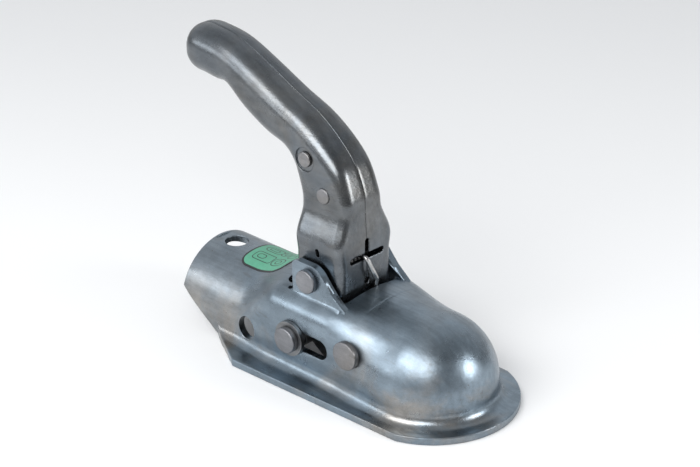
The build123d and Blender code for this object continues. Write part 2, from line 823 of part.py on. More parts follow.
# Label: thin foil on the roof of the collar
label_stations = [skirt_rear_x, collar_front_x, *steps(collar_front_x, saddle_x, transition_steps)]
with BuildPart() as label_skin:
    for start, end in zip(label_stations, label_stations[1:]):
        for x in (start, end):
            with BuildSketch(Plane.YZ.offset(x)):
                with BuildLine():
                    draw_outer(*body_section(x, -label_thickness), flange_half_rear + 1)
                make_face()
        loft(ruled=True, clean=False)
with BuildPart() as label:
    with BuildSketch(Plane.XY):
        with Locations((label_x, 0)):
            RectangleRounded(label_length, label_width, label_corner)
    extrude(amount=body_top)
    add(label_skin.part, mode=Mode.INTERSECT)
    add(outer_body.part, mode=Mode.SUBTRACT)
export(label, "label")
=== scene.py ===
from math import asin, atan2, ceil, cos, hypot, pi, radians, sin, sqrt

import bmesh
import bpy
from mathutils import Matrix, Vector


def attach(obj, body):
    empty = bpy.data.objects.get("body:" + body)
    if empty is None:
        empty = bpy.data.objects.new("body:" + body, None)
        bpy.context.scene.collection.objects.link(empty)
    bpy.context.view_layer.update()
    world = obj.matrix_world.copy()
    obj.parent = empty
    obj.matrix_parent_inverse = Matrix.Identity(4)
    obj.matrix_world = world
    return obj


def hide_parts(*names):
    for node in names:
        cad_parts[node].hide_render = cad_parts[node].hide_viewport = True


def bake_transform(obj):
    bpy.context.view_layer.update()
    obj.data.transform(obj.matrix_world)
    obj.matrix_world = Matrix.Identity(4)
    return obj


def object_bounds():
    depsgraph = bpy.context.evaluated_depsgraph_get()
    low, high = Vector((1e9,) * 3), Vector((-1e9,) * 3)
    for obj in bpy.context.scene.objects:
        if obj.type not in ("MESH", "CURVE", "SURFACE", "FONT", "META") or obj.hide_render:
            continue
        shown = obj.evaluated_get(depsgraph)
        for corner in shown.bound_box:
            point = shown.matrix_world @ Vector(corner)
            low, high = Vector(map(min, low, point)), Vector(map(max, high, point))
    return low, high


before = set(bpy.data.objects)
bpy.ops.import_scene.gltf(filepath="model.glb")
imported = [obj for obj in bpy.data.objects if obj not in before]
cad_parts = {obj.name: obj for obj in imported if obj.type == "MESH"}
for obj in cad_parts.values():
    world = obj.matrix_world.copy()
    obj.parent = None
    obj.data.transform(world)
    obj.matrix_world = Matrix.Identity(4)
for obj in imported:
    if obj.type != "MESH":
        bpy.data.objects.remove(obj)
cad_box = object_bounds()

# Lengths below are in millimetres, heights above the flange underside, X = 0 and Y = 0 at the ball's centre
mm = 0.001
ball_height = 15.0
tiny = 0.001

# Housing
sheet = 4.5
flare_radius = 7.0
dome_radius = 39.7
nose_flange_radius = 52.3
flange_half_front = 49.4
flange_half_rear = 53.4
flange_rear_x = -110.0
rear_x = -174.0
rear_rim_height = 24.0
rear_foot_x = -139.0
rear_cut_slope = 1.72
collar_top = 48.0
collar_half = 34.5
collar_front_x = -128.0
collar_lean = radians(28)
saddle_x = -92.0
body_half = 37.4
body_front_x = -52.0
body_top = 55.0
shoulder_radius = 15.0
crown_radius = 120.0
rim_round = 0.6
opening_front_x = -46.4
opening_rear_x = -94.0
opening_half = 24.0
opening_corner = 5.0
ear_top = 72.0
ear_rear_x = -83.5
ear_crown_x = -63.5
ear_bend_x = -51.5
ear_bend_height = 58.6
ear_bend_round = 8.0
ear_front_x = -41.37
ear_front_height = 51.33
ear_rear_corner = 4.0
ear_front_corner = 12.0
ear_base_sink = 2.0
ear_overlap = 0.02
ear_rim = 0.7
ear_fillet = 5.0
ear_fillet_least = 0.3
ear_fillet_step = 0.1
ear_fillet_run = 9.0
ear_fillet_start = 0.2
ear_fillet_end = 3.5
ear_fillet_depth = 2.0
ear_fillet_foot = 1.0
ear_fillet_gap = 0.6
relief_hole = 3.2
relief_x = -86.0
relief_y = 27.0
plate_line_x = -31.0
plate_line_half = 20.0
plate_line_depth = 0.14
plate_line_reach = 0.8
plate_line_margin = 2.0
top_bolt_x = -160.5
side_bolt_x = -116.3
side_bolt_height = 16.3
side_bolt_swell = 0.7
drawbar_bolt_hole = 14.5
top_flat_depth = 0.8
top_flat_half = 12.0
top_flat_reach = 20.0
top_flat_rise = 5.0
slot_front_x = -47.2
slot_rear_x = -81.6
slot_height = 12.0
mouth_round = 0.5
cutter_lead = 3.0
through_below = 12.0
through_above = 6.0

# Fineness of the housing's shell: steps round its section, and distances between its sections
crown_steps = 14
shoulder_steps = 18
wall_steps = 8
flare_steps = 10
rim_steps = 4
nose_steps = 84
ring_step = 1.8
line_ring_step = 0.35
ear_ring_step = 0.8

# Pins
pivot_x, pivot_height = -70.5, 61.8
slot_pin_x, slot_pin_height = -75.6, 26.3
front_rivet_x, front_rivet_height = -29.1, 33.1
upper_rivet = (-84.6, 130.2)
lower_rivet = (-69.8, 111.7)
seat_gap = 0.02
pivot_shank = 5.5
pivot_head = 7.25
pivot_head_height = 3.4
slot_shank = 5.7
slot_head = 8.0
slot_washer = 2.9
big_head_height = 3.9
big_head_round = 0.9
front_shank = 5.0
front_head = 8.6
front_head_round = 0.5
front_head_crown = 0.05
front_flush_bevel = 0.2
front_flush_inner = 0.5
front_flush_outer = 0.35
rivet_shank = 3.0
rivet_head = 4.75
rivet_head_height = 1.7
rivet_head_round = 0.8
head_bevel = 0.25
head_steps = 5

# Handle
handle_sheet = 2.5
neck_half = 16.6
base_half = 23.4
base_corner = 6.0
foot_taper = 1.2
base_front_x = -50.4
base_rear_x = -88.0
base_bottom = 51.0
shoulder_front_height = 82.0
shoulder_rear_height = 84.5
foot_steps = 24
knob_x = -175.0
knob_length = 15.5
knob_power = 2.6
knob_steps = 12
knob_ease = 1.6
grip_step = 0.9
seam_half = 0.06
seam_lip = 0.5
lip_share = 0.35
lip_bend = 0.3
lip_end = 0.9
slim_half = 3.0
face_steps = 4
bend_steps = 12
flank_steps = 16
section_points = 2 * face_steps + 2 * bend_steps + flank_steps + 5
dimple_radius = 7.25
dimple_depth = 1.2
dimple_edge = 1.6
recess_sink = 0.1
lower_dimple_radius = 6.0
lower_dimple_depth = 0.4
cross_slot_height = 74.6
cross_slot_half = 14.0
cross_slot_width = 3.6
cross_stem_width = 3.2
cross_slot_top = 85.7
front_cut = 2.0
drain_hole = 4.0
drain_hole_height = 58.8
side_hole_x = -68.3
side_hole_height = 78.2
side_hole_width = 3.2
side_hole_length = 5.4
# Sections from the grip down to the neck: ridge point, underside point, half width, corner radius
handle_sections = [
    ((knob_x, 186.0), (knob_x, 156.0), 15.8, 13.5),
    ((-160.0, 184.2), (-164.5, 155.0), 15.8, 13.0),
    ((-147.0, 180.4), (-154.0, 154.2), 15.6, 12.5),
    ((-128.0, 172.0), (-139.0, 143.5), 15.8, 12.5),
    ((-108.0, 162.3), (-121.0, 134.5), 16.0, 12.0),
    ((-88.0, 153.2), (-106.0, 130.5), 16.3, 11.0),
    ((-72.0, 141.8), (-98.0, 124.5), neck_half, 10.0),
    ((-59.5, 128.5), (-93.5, 115.5), neck_half, 9.0),
    ((-52.5, 112.0), (-90.5, 107.5), neck_half, 8.0),
    ((-51.6, 105.0), (-89.6, 101.5), neck_half, 7.0),
]

# Spring
spring_wire = 2.8
spring_turns = 4
spring_pitch = 3.3
coil_radius = 9.2
coil_steps = 36
coil_exit = 6.5
spring_bend = 3.0
rear_leg_gap = 0.3

# Label
label_x = -126.0
label_length = 35.0
label_width = 32.0
label_corner = 7.0
label_proud = 0.25
label_sink = 0.1
label_step = 0.8
label_steps = 44
label_border_inset = 0.55
label_border_width = 1.3
label_line_width = 0.45
label_line_soft = 0.12
# Outlines on the label: centre from the label's centre, size and corner radius
label_shapes = [
    ((-6, 6), (13, 7), 3.4), ((-6.5, 6), (7, 3), 1.4), ((4, 7), (7, 9), 2.9), ((4, 7), (3, 5), 1.4),
    ((-5, -5), (15, 8), 2.0), ((-7, -5), (6, 4), 1.9), ((8, -6), (9, 8), 3.6), ((8, -6), (4, 4), 1.9),
    ((11, 3), (5, 5), 1.5),
]

# Camera, from the photograph
camera_azimuth = radians(43.59)
camera_pitch = radians(25.95)
camera_distance = 1.2
camera_target = Vector((-0.06406, 0, 0.06938))
camera_lens = 106.33

# Floor
floor_reach = 4.0
floor_drop = 0.0001
floor_tone = 0.93


def place(x, y, height):
    """Point in metres from millimetres and a height above the flange underside."""
    return Vector((x * mm, y * mm, (height - ball_height) * mm))


def ease(start, end, share):
    """Value between start and end that leaves and arrives level."""
    share = min(max(share, 0.0), 1.0)
    return start + (end - start) * share * share * (3 - 2 * share)


def spread(start, end, step):
    """Values from start to end, both included, at most step apart."""
    count = max(1, ceil(abs(end - start) / step - 1e-6))
    return [start + (end - start) * number / count for number in range(count + 1)]


def quarter(steps, first=0):
    """Angles through a quarter turn, from the first step on."""
    return [pi / 2 * number / steps for number in range(first, steps + 1)]


def new_object(name, bm, smooth_angle=35.0):
    """Object from a bmesh, shaded smooth but for edges sharper than the angle."""
    bmesh.ops.recalc_face_normals(bm, faces=bm.faces)
    mesh = bpy.data.meshes.new(name)
    bm.to_mesh(mesh)
    bm.free()
    mesh.shade_smooth()
    mesh.set_sharp_from_angle(angle=radians(smooth_angle))
    made = bpy.data.objects.new(name, mesh)
    bpy.context.scene.collection.objects.link(made)
    return made


def add_grid(bm, rows):
    """Quads between rows of points, all rows as long as each other."""
    grid = [[bm.verts.new(point) for point in row] for row in rows]
    for low, high in zip(grid, grid[1:]):
        for number in range(len(low) - 1):
            bm.faces.new((low[number], low[number + 1], high[number + 1], high[number]))
    return grid


def weld(bm):
    """Joins points that lie on each other and drops the faces that this closes up."""
    bmesh.ops.remove_doubles(bm, verts=bm.verts, dist=2e-6)
    bmesh.ops.dissolve_degenerate(bm, edges=bm.edges, dist=1e-6)


def boolean(target, tool, operation):
    """Applies one exact boolean to the target and deletes the tool."""
    modifier = target.modifiers.new(operation, "BOOLEAN")
    modifier.operation = operation
    modifier.solver = "EXACT"
    modifier.object = tool
    bpy.context.view_layer.update()
    cut = bpy.data.meshes.new_from_object(target.evaluated_get(bpy.context.evaluated_depsgraph_get()))
    target.modifiers.clear()
    target.data = cut
    bpy.data.objects.remove(tool)


def shade(target, smooth_angle):
    """Smooth shading with sharp edges, after booleans."""
    target.data.shade_smooth()
    target.data.set_sharp_from_angle(angle=radians(smooth_angle))


# Housing
def body_section(x, inset):
    """Half width, top height, shoulder radius and crown radius of the body at x, less an inset."""
    rise = (x - collar_front_x) / (saddle_x - collar_front_x)
    swell = (x - body_front_x) / (0 - body_front_x)
    half = ease(ease(collar_half, body_half, rise), dome_radius, swell)
    top = ease(ease(collar_top, body_top, rise), ball_height + dome_radius, swell)
    corner = ease(ease(collar_half, shoulder_radius, rise), dome_radius, swell)
    curvature = ease(ease(1 / collar_half, 1 / crown_radius, rise), 1 / dome_radius, swell)
    return half - inset, top - inset, corner - inset, 1 / curvature - inset


def roof_arcs(half, top, corner, crown):
    """Lean of the tangent, and the centres of the shoulder and the crown."""
    lean = collar_lean
    if half - corner > tiny:
        lean = asin((half - corner) / (crown - corner))
    crown_centre = top - crown
    return lean, (half - corner, crown_centre + (crown - corner) * cos(lean)), crown_centre


def plate_line(x, y):
    """Depth of the shallow pressed line in front of the opening."""
    across = max(0.0, 1 - (abs(y) / plate_line_half) ** 8)
    along = (x - plate_line_x) / plate_line_reach
    return plate_line_depth * across * max(0.0, 1 - along * along) ** 2


def roof_branch(x, inset):
    """Points (y, height) from the crown down to the foot of the straight side."""
    half, top, corner, crown = body_section(x, inset)
    lean, centre, crown_centre = roof_arcs(half, top, corner, crown)
    points = []
    for number in range(crown_steps):
        angle = lean * number / crown_steps
        points.append((crown * sin(angle), crown_centre + crown * cos(angle)))
    for number in range(shoulder_steps + 1):
        angle = lean + (pi / 2 - lean) * number / shoulder_steps
        points.append((centre[0] + corner * sin(angle), centre[1] + corner * cos(angle)))
    foot = sheet + flare_radius
    for number in range(1, wall_steps + 1):
        points.append((half, centre[1] + (foot - centre[1]) * number / wall_steps))
    return points


def flare_branch(half, bend_radius, base, limit):
    """Points (y, height) down the flare to the limit, and the height where it ends."""
    reach = min(limit, half + bend_radius)
    last = pi / 2 - asin(min(1.0, max(0.0, (half + bend_radius - reach) / bend_radius)))
    points = []
    for number in range(1, flare_steps + 1):
        angle = last * number / flare_steps
        points.append((half + bend_radius * (1 - cos(angle)), base + bend_radius * (1 - sin(angle))))
    return points, base + bend_radius * (1 - sin(last))


def rim_branch(start, limit, upper, lower, rounding):
    """Points along the flange and round its rim, from its upper face to its lower face."""
    points = []
    for number in range(1, rim_steps + 1):
        points.append((start + (limit - rounding - start) * number / rim_steps, upper))
    for angle in quarter(rim_steps, 1):
        points.append((limit - rounding + rounding * sin(angle), upper - rounding + rounding * cos(angle)))
    for angle in quarter(rim_steps):
        points.append((limit - rounding + rounding * cos(angle), lower + rounding - rounding * sin(angle)))
    return points


def clip_below(points, floor):
    """The same points, those below the floor moved to where the line crosses it."""
    kept = []
    for point in points:
        if point[1] >= floor or not kept:
            kept.append(point)
            continue
        last = kept[-1]
        if last[1] > floor:
            share = (last[1] - floor) / (last[1] - point[1])
            kept.append((last[0] + (point[0] - last[0]) * share, floor))
        else:
            kept.append(last)
    return kept


def shell_ring(x, limit, floor):
    """Half section of the pressed shell, from the crown outside to the crown inside."""
    half = body_section(x, 0)[0]
    outer = roof_branch(x, 0)
    outer = [(y, height - plate_line(x, y)) for y, height in outer]
    flare, flange_height = flare_branch(half, flare_radius, sheet, limit)
    inner_flare, inner_foot = flare_branch(half - sheet, flare_radius + sheet, 0, limit)
    rounding = min(rim_round, max(0.0, limit - half - flare_radius))
    lower = inner_foot if limit < half + flare_radius else 0.0
    outer += flare + rim_branch(flare[-1][0], limit, flange_height, lower, rounding)
    inner = roof_branch(x, sheet) + inner_flare
    outer = clip_below(outer, floor)
    inner = clip_below(inner, floor)
    return outer + inner[::-1]


def flange_limit(x):
    """Half width of the flange in plan."""
    if x > flange_rear_x:
        front_x = sqrt(nose_flange_radius**2 - flange_half_front**2)
        return flange_half_rear + (flange_half_front - flange_half_rear) * (x - flange_rear_x) / (
            front_x - flange_rear_x)
    return max(collar_half, flange_half_rear - (flange_rear_x - x) / rear_cut_slope)


def nose_limit(angle):
    """Reach of the flange from the ball's axis, at an angle from the nose."""
    front_x = sqrt(nose_flange_radius**2 - flange_half_front**2)
    slope = (flange_half_rear - flange_half_front) / (front_x - flange_rear_x)
    side = (flange_half_front + front_x * slope) / (abs(sin(angle)) + slope * cos(angle))
    return min(nose_flange_radius, side)


def collar_floor(x):
    """Height of the slanted underside of the collar."""
    return max(0.0, rear_rim_height * (rear_foot_x - x) / (rear_foot_x - rear_x))


def housing_shell():
    """Closed shell of the pressed housing, without its holes."""
    skirt_x = flange_rear_x - (flange_half_rear - collar_half) * rear_cut_slope
    marks = [rear_x, skirt_x, rear_foot_x, collar_front_x, flange_rear_x, saddle_x, body_front_x]
    line_start = plate_line_x - plate_line_margin
    marks += [line_start, plate_line_x + plate_line_margin, 0]
    xs = []
    for start, end in zip(marks, marks[1:]):
        step = line_ring_step if start == line_start else ring_step
        xs += spread(start, end, step)[:-1]
    xs.append(0)
    bm = bmesh.new()
    rings = [(x, shell_ring(x, flange_limit(x), collar_floor(x))) for x in xs]
    for side in (1, -1):
        add_grid(bm, [[place(x, side * y, height) for y, height in ring] for x, ring in rings])
        first = [place(rings[0][0], side * y, height) for y, height in rings[0][1]]
        bm.faces.new([bm.verts.new(point) for point in first])
    rows = []
    for number in range(nose_steps + 1):
        angle = pi / 2 - pi * number / nose_steps
        ring = shell_ring(0, nose_limit(angle), 0)
        rows.append([place(y * cos(angle), y * sin(angle), height) for y, height in ring])
    add_grid(bm, rows)
    weld(bm)
    return new_object("housing_shell", bm)


def prism(bm, outline, levels):
    """Closed solid through rings of points: outline(level) gives each ring."""
    rings = [[bm.verts.new(point) for point in outline(level)] for level in levels]
    for low, high in zip(rings, rings[1:]):
        for number in range(len(low)):
            after = (number + 1) % len(low)
            bm.faces.new((low[number], low[after], high[after], high[number]))
    bm.faces.new(rings[0][::-1])
    bm.faces.new(rings[-1])


def stadium(length, width, grow, count=14):
    """Outline of a slot of the given overall size, grown by an amount, about its centre."""
    radius = width / 2 + grow
    reach = (length - width) / 2
    points = []
    for sign in (1, -1):
        for number in range(count + 1):
            angle = -pi / 2 + pi * number / count
            points.append((sign * (reach + radius * cos(angle)), sign * radius * sin(angle)))
    return points


def mouth_levels(face, depth):
    """Levels of a hole with a rounded mouth: coordinate across the wall, and growth of the outline."""
    levels = [(face + cutter_lead, mouth_round), (face, mouth_round)]
    for angle in quarter(rim_steps, 1):
        levels.append((face - mouth_round * (1 - cos(angle)), mouth_round * (1 - sin(angle))))
    levels.append((face - depth, 0.0))
    return levels


def side_cutter(bm, x, height, length, width, face, turned=False, depth=sheet + cutter_lead):
    """Rounded-mouth cutters into both side walls; a turned one stands upright."""
    for side in (1, -1):
        def ring(level, side=side):
            points = stadium(length, width, level[1])
            if turned:
                points = [(-b, a) for a, b in points]
            return [place(x + a, side * level[0], height + b) for a, b in points]
        prism(bm, ring, mouth_levels(face, depth))


def housing_cutters():
    """All holes of the housing as one tool."""
    bm = bmesh.new()

    def opening(level):
        points = []
        corners = ((opening_front_x, opening_half, 0), (opening_rear_x, opening_half, 1),
                   (opening_rear_x, -opening_half, 2), (opening_front_x, -opening_half, 3))
        for x, y, quarter in corners:
            centre_x = x - opening_corner if x == opening_front_x else x + opening_corner
            centre_y = y - opening_corner if y > 0 else y + opening_corner
            for number in range(7):
                angle = pi / 2 * (quarter + number / 6)
                points.append(place(centre_x + opening_corner * cos(angle),
                                    centre_y + opening_corner * sin(angle), level))
        return points

    through = (body_top - through_below, body_top + through_above)
    prism(bm, opening, through)
    side_cutter(bm, (slot_front_x + slot_rear_x) / 2, slot_pin_height, slot_front_x - slot_rear_x,
                slot_height, body_half)
    # The collar has begun to widen where the side bolt goes through
    side_face = collar_half + side_bolt_swell
    side_cutter(bm, side_bolt_x, side_bolt_height, drawbar_bolt_hole, drawbar_bolt_hole, side_face)

    def top_ring(level):
        outline = stadium(drawbar_bolt_hole, drawbar_bolt_hole, level[1])
        return [place(top_bolt_x + a, b, level[0]) for a, b in outline]

    prism(bm, top_ring, mouth_levels(collar_top - top_flat_depth, sheet + cutter_lead))
    for side in (1, -1):
        def relief(level, side=side):
            return [place(relief_x + a, side * relief_y + b, level)
                    for a, b in stadium(relief_hole, relief_hole, 0, 8)]
        prism(bm, relief, through)
    return new_object("housing_holes", bm)


def top_flat_tool():
    """Block that mills the flat round the top bolt hole."""
    bm = bmesh.new()
    level = collar_top - top_flat_depth

    def ring(height):
        corners = ((1, 1), (-1, 1), (-1, -1), (1, -1))
        return [place(top_bolt_x + a * top_flat_half, b * top_flat_reach, height) for a, b in corners]

    prism(bm, ring, (level, level + top_flat_rise))
    return new_object("top_flat", bm)


def rounded_outline(corners, count=10):
    """Outline through corners given as (x, height, radius), each corner rounded by its radius."""
    points = []
    total = len(corners)
    for number, (x, height, radius) in enumerate(corners):
        here = Vector((x, height))
        before = (Vector(corners[number - 1][:2]) - here).normalized()
        after = (Vector(corners[(number + 1) % total][:2]) - here).normalized()
        if radius <= 0:
            points.append(here)
            continue
        half_turn = before.angle(after) / 2
        middle = here + (before + after).normalized() * radius / sin(half_turn)
        start = here + before * radius / (sin(half_turn) / cos(half_turn)) - middle
        end = here + after * radius / (sin(half_turn) / cos(half_turn)) - middle
        for step in range(count + 1):
            share = step / count
            points.append(middle + start.slerp(end, share).normalized() * radius)
    return points


def ear(side):
    """Ear bent up beside the opening, with rounded edges."""
    base = body_top - sheet - ear_base_sink
    outline = rounded_outline([
        (ear_rear_x, base, 0), (ear_rear_x, ear_top, ear_rear_corner),
        (ear_crown_x, ear_top, ear_front_corner), (ear_bend_x, ear_bend_height, ear_bend_round),
        (ear_front_x, ear_front_height, 0), (ear_front_x, base, 0),
    ])
    bm = bmesh.new()

    def ring(level):
        return [place(point.x, side * level, point.y) for point in outline]

    prism(bm, ring, (opening_half - ear_overlap, opening_half + sheet))
    rims = [edge for edge in bm.edges if abs(edge.verts[0].co.y - edge.verts[1].co.y) < 1e-7]
    bmesh.ops.bevel(bm, geom=rims, offset=ear_rim * mm, segments=3, affect="EDGES", profile=0.5)
    return new_object("ear", bm)


def ear_edge(x):
    """Height just below the ear's upper edge at x."""
    steep = (ear_bend_height - ear_top) / (ear_bend_x - ear_crown_x)
    gentle = (ear_front_height - ear_bend_height) / (ear_front_x - ear_bend_x)
    edge = max(ear_bend_height + steep * (x - ear_bend_x), ear_bend_height + gentle * (x - ear_bend_x))
    return min(ear_top, edge) - ear_fillet_gap


def ear_root(side):
    """Fillet between the ear's outer face and the shoulder, narrow at both ends."""
    bm = bmesh.new()
    face = opening_half + sheet
    rings = []
    for x in spread(ear_rear_x + ear_fillet_start, ear_front_x - ear_fillet_end, ear_ring_step):
        half, top, corner, crown = body_section(x, 0)
        _, centre, _ = roof_arcs(half, top, corner, crown)
        radius = ease(ear_fillet_least, ear_fillet, (x - ear_rear_x) / ear_fillet_run)
        # The radius shrinks until the fillet stays below the ear's edge
        while True:
            across = face + radius - centre[0]
            hub = (face + radius, centre[1] + sqrt(max(0.0, (corner + radius) ** 2 - across**2)))
            if hub[1] <= ear_edge(x) or radius < ear_fillet_least:
                break
            radius -= ear_fillet_step
        if hub[1] > ear_edge(x):
            break
        low = atan2(centre[1] - hub[1], centre[0] - hub[0])
        points = [(face - ear_fillet_depth, hub[1])]
        for number in range(9):
            angle = -pi + (low + pi) * number / 8
            points.append((hub[0] + radius * cos(angle), hub[1] + radius * sin(angle)))
        points.append((face - ear_fillet_depth, points[-1][1] - ear_fillet_foot))
        rings.append([place(x, side * y, height) for y, height in points])
    prism(bm, lambda number: rings[number], range(len(rings)))
    return new_object("ear_root", bm)


def make_housing():
    """Pressed housing with its holes and ears."""
    shell = housing_shell()
    boolean(shell, top_flat_tool(), "DIFFERENCE")
    boolean(shell, housing_cutters(), "DIFFERENCE")
    for side in (1, -1):
        boolean(shell, ear(side), "UNION")
        boolean(shell, ear_root(side), "UNION")
    shade(shell, 32)
    shell.name = "pressed_housing"
    return shell


# Handle
def knob_rows(inset):
    """Sections of the rounded tip."""
    top, bottom, half, corner = handle_sections[0]
    middle = (top[1] + bottom[1]) / 2
    rows = []
    for number in range(knob_steps):
        share = (number / knob_steps) ** knob_ease
        fullness = (1 - (1 - share) ** knob_power) ** (1 / knob_power)
        x = knob_x - (knob_length - inset) * (1 - share)
        reach = (top[1] - middle - inset) * fullness
        rows.append((x, middle + reach, x, middle - reach, (half - inset) * fullness,
                     (corner - inset) * fullness))
    return rows


def grip_rows(inset):
    """Sections from the tip to the neck, on smooth curves through the given ones."""
    keys = [(*top, *bottom, half, corner) for top, bottom, half, corner in handle_sections]
    rows = []
    for number in range(len(keys) - 1):
        before = keys[max(number - 1, 0)]
        start, end = keys[number], keys[number + 1]
        after = keys[min(number + 2, len(keys) - 1)]
        span = hypot(end[0] - start[0] + end[2] - start[2], end[1] - start[1] + end[3] - start[3]) / 2
        steps = max(4, ceil(span / grip_step))
        for step in range(steps):
            t = step / steps
            row = []
            for a, b, c, d in zip(before, start, end, after):
                row.append(0.5 * (2 * b + (c - a) * t + (2 * a - 5 * b + 4 * c - d) * t * t
                                  + (3 * b - a - 3 * c + d) * t**3))
            rows.append(inward(row, inset))
    rows.append(inward(keys[-1], inset))
    return rows


def foot_rows(neck, inset):
    """Sections from the neck over its shoulders and down the foot."""
    front_x, back_x = base_front_x - inset, base_rear_x + inset
    rows = []
    for number in range(1, foot_steps + 1):
        share = number / foot_steps
        rows.append((ease(neck[0], front_x, share), neck[1] + (shoulder_front_height - neck[1]) * share,
                     ease(neck[2], back_x, share), neck[3] + (shoulder_rear_height - neck[3]) * share,
                     ease(neck[4], base_half - inset, share), ease(neck[5], base_corner - inset, share)))
    for number in range(1, foot_steps + 1):
        share = number / foot_steps
        # Only the outer face tapers, which leaves a gap beside the ears
        taper = ease(0.0, foot_taper, 3 * share) if inset == 0 else 0.0
        rows.append((front_x, shoulder_front_height + (base_bottom - shoulder_front_height) * share,
                     back_x, shoulder_rear_height + (base_bottom - shoulder_rear_height) * share,
                     base_half - inset - taper, base_corner - inset))
    return rows


def handle_rows(inset):
    """Sections from the tip to the foot: ridge, underside, half width and corner radius."""
    rows = knob_rows(inset) + grip_rows(inset)
    return rows + foot_rows(rows[-1], inset)


def inward(row, inset):
    """A handle section with each of its faces moved in."""
    depth = hypot(row[0] - row[2], row[1] - row[3])
    step_x = (row[0] - row[2]) * inset / depth
    step_h = (row[1] - row[3]) * inset / depth
    return (row[0] - step_x, row[1] - step_h, row[2] + step_x, row[3] + step_h,
            row[4] - inset, row[5] - inset)


def half_section(row, lip):
    """Points (x, y, height) of half a handle section, from the ridge round to the underside."""
    top, bottom = Vector((row[0], row[1])), Vector((row[2], row[3]))
    half, corner = row[4], row[5]
    depth = (top - bottom).length
    if depth < 1e-6:
        return [(row[0], seam_half, row[1])] * section_points
    along = (top - bottom) / depth
    flat = max(0.0, half - corner)
    face = depth / 2
    outline = [(face - lip, seam_half), (face - lip * lip_share, lip_bend), (face, lip_end)]
    start = min(lip_end, flat)
    for number in range(1, face_steps + 1):
        outline.append((face, max(lip_end, start + (flat - start) * number / face_steps)))
    for angle in quarter(bend_steps, 1):
        outline.append((face - corner + corner * cos(angle), flat + corner * sin(angle)))
    side = max(0.0, face - corner)
    for number in range(1, flank_steps):
        outline.append((side - 2 * side * number / flank_steps, half))
    for angle in quarter(bend_steps):
        outline.append((-side - corner * sin(angle), flat + corner * cos(angle)))
    for number in range(1, face_steps):
        outline.append((-face, max(lip_end, flat + (start - flat) * number / face_steps)))
    outline += [(-face, lip_end), (lip * lip_share - face, lip_bend), (lip - face, seam_half)]
    middle = (top + bottom) / 2
    shrink = min(1.0, half / slim_half)
    points = []
    for across, y in outline:
        spot = middle + along * max(-face, min(face, across))
        width = y * shrink if y <= lip_end else min(y, half)
        points.append((spot.x, max(seam_half, width), spot.y))
    return points


def dimple(x, height, centre, radius, depth):
    """Depth of a soft round dimple at a point of the handle's side."""
    distance = hypot(x - centre[0], height - centre[1])
    return ease(depth, 0.0, (distance - radius + dimple_edge) / dimple_edge)


def handle_half(name, side):
    """One pressed half of the handle, +1 for +Y."""
    bm = bmesh.new()
    rows = []
    for outer_row, inner_row in zip(handle_rows(0), handle_rows(handle_sheet)):
        outer = []
        for x, y, height in half_section(outer_row, seam_lip):
            sunk = y - dimple(x, height, lower_rivet, lower_dimple_radius, lower_dimple_depth)
            outer.append((x, max(seam_half, min(y, max(sunk, neck_half - dimple_depth))), height))
        ring = outer + half_section(inner_row, 0.0)[::-1]
        ring.append(ring[0])
        rows.append([place(x, side * y, height) for x, y, height in ring])
    add_grid(bm, rows)
    bm.faces.new([bm.verts.new(point) for point in rows[-1][:-1]])
    weld(bm)
    made = new_object(name, bm)
    for tool in (front_cutter((cross_bar, drain)), front_cutter((cross_stem,)), side_holes()):
        boolean(made, tool, "DIFFERENCE")
    shade(made, 40)
    return made


def front_cutter(shapes):
    """Rounded-mouth cutters through the foot's front, one per shape: shape(growth) gives its outline."""
    bm = bmesh.new()
    for shape in shapes:
        prism(bm, lambda level: [place(level[0], y, height) for y, height in shape(level[1])],
              mouth_levels(base_front_x, handle_sheet + front_cut))
    return new_object("handle_front_holes", bm)


def cross_bar(grow):
    """Level part of the cross slot."""
    return [(a, cross_slot_height + b) for a, b in stadium(2 * cross_slot_half, cross_slot_width, grow)]


def cross_stem(grow):
    """Upright part of the cross slot."""
    length = cross_slot_top - cross_slot_height
    outline = stadium(length, cross_stem_width, grow)
    return [(-b, cross_slot_height + length / 2 + a) for a, b in outline]


def drain(grow):
    """Drain hole below the cross slot."""
    return [(a, drain_hole_height + b) for a, b in stadium(drain_hole, drain_hole, grow)]


def side_holes():
    """Oval holes in the sides of the foot, and the round recesses of the upper rivet."""
    bm = bmesh.new()
    side_cutter(bm, side_hole_x, side_hole_height, side_hole_length, side_hole_width, base_half,
                turned=True)
    # The rounding of the recess starts a little below the face
    side_cutter(bm, *upper_rivet, 2 * dimple_radius, 2 * dimple_radius, neck_half - recess_sink,
                depth=dimple_depth - recess_sink)
    return new_object("handle_side_holes", bm)


# Turned pieces
def turned(name, x, height, profile, count=64):
    """Solid of revolution about an axis along Y through (x, height), from (y, radius) points."""
    bm = bmesh.new()
    rows = []
    for y, radius in profile:
        row = []
        for number in range(count + 1):
            angle = 2 * pi * number / count
            row.append(place(x + radius * cos(angle), y, height + radius * sin(angle)))
        rows.append(row)
    add_grid(bm, rows)
    weld(bm)
    return new_object(name, bm, 50)


def head_profile(seat, radius, thickness, rounding, crown=0.12):
    """Half profile of a pin's head, from its seat out to its centre."""
    points = [(seat, radius - head_bevel), (seat + head_bevel, radius)]
    for angle in quarter(head_steps):
        points.append((seat + thickness - rounding + rounding * sin(angle),
                       radius - rounding + rounding * cos(angle)))
    for share in (0.7, 0.4, 0.15, 0.0):
        inner = (radius - rounding) * share
        points.append((seat + thickness + crown * (1 - (inner / radius) ** 2) - crown * 0.2, inner))
    return points


def headed_pin(name, x, height, shank, seat, radius, thickness, rounding):
    """Pin with a rounded head at each end."""
    outer = head_profile(seat, radius, thickness, rounding)
    inner = [(seat, shank)] + outer
    return turned(name, x, height, [(-y, r) for y, r in inner[::-1]] + inner)


